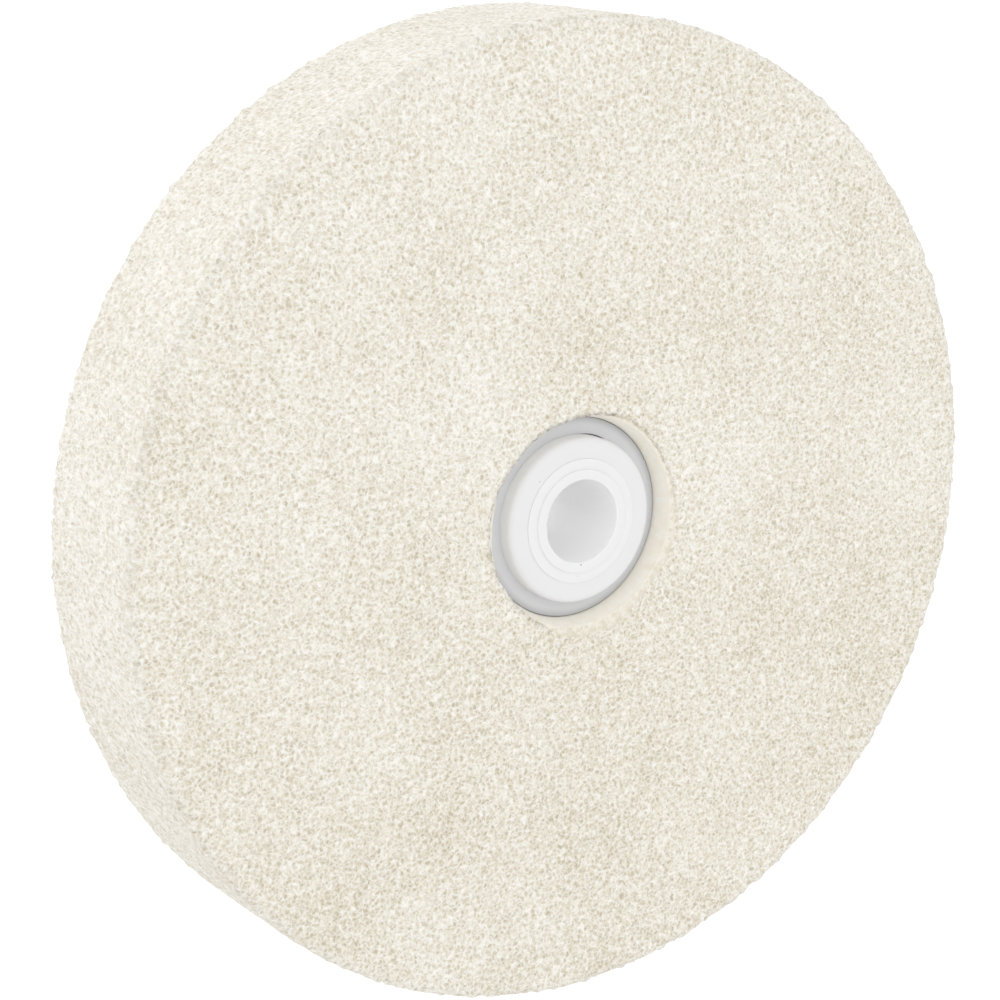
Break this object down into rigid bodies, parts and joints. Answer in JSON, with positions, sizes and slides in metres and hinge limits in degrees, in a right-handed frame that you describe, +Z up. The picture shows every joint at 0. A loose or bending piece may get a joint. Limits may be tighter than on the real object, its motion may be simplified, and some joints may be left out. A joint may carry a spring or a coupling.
{
  "type": "felt polishing wheel",
  "caption": "Thick round pressed-felt polishing wheel for a bench grinder, with a resin-lined bore and nested plastic reducing bushes pushed in from both faces.",
  "frame": {"origin": "middle of the wheel, on its axis at mid-width", "axes": "+Y along the wheel's axis, from the front face to the back face; +Z up, as the wheel stands on a horizontal spindle; +X completes a right-handed frame"},
  "size_m": [0.15, 0.025, 0.15],
  "materials": {
    "felt": "pressed felt, open-pored and matt, cream",
    "resin": "cast cream resin, smooth and satin",
    "grey_plastic": "moulded light grey plastic, satin",
    "white_plastic": "moulded white plastic, satin"
  },
  "bodies": {
    "wheel": {"felt_disc": "felt", "bore_lining": "resin"},
    "outer_bush_front": {"outer_bush_front": "grey_plastic"},
    "large_bush_front": {"large_bush_front": "white_plastic"},
    "middle_bush_front": {"middle_bush_front": "white_plastic"},
    "small_bush_front": {"small_bush_front": "white_plastic"},
    "outer_bush_back": {"outer_bush_back": "grey_plastic"},
    "large_bush_back": {"large_bush_back": "white_plastic"},
    "middle_bush_back": {"middle_bush_back": "white_plastic"},
    "small_bush_back": {"small_bush_back": "white_plastic"}
  },
  "joints": [
    {"name": "outer_bush_front_slide", "type": "slide", "parent": "wheel", "child": "outer_bush_front", "axis": [0, -1, 0], "range_m": [0, 0.013]},
    {"name": "large_bush_front_slide", "type": "slide", "parent": "outer_bush_front", "child": "large_bush_front", "axis": [0, -1, 0], "range_m": [0, 0.013]},
    {"name": "middle_bush_front_slide", "type": "slide", "parent": "large_bush_front", "child": "middle_bush_front", "axis": [0, -1, 0], "range_m": [0, 0.013]},
    {"name": "small_bush_front_slide", "type": "slide", "parent": "middle_bush_front", "child": "small_bush_front", "axis": [0, -1, 0], "range_m": [0, 0.013]},
    {"name": "outer_bush_back_slide", "type": "slide", "parent": "wheel", "child": "outer_bush_back", "axis": [0, 1, 0], "range_m": [0, 0.013]},
    {"name": "large_bush_back_slide", "type": "slide", "parent": "outer_bush_back", "child": "large_bush_back", "axis": [0, 1, 0], "range_m": [0, 0.013]},
    {"name": "middle_bush_back_slide", "type": "slide", "parent": "large_bush_back", "child": "middle_bush_back", "axis": [0, 1, 0], "range_m": [0, 0.013]},
    {"name": "small_bush_back_slide", "type": "slide", "parent": "middle_bush_back", "child": "small_bush_back", "axis": [0, 1, 0], "range_m": [0, 0.013]}
  ]
}
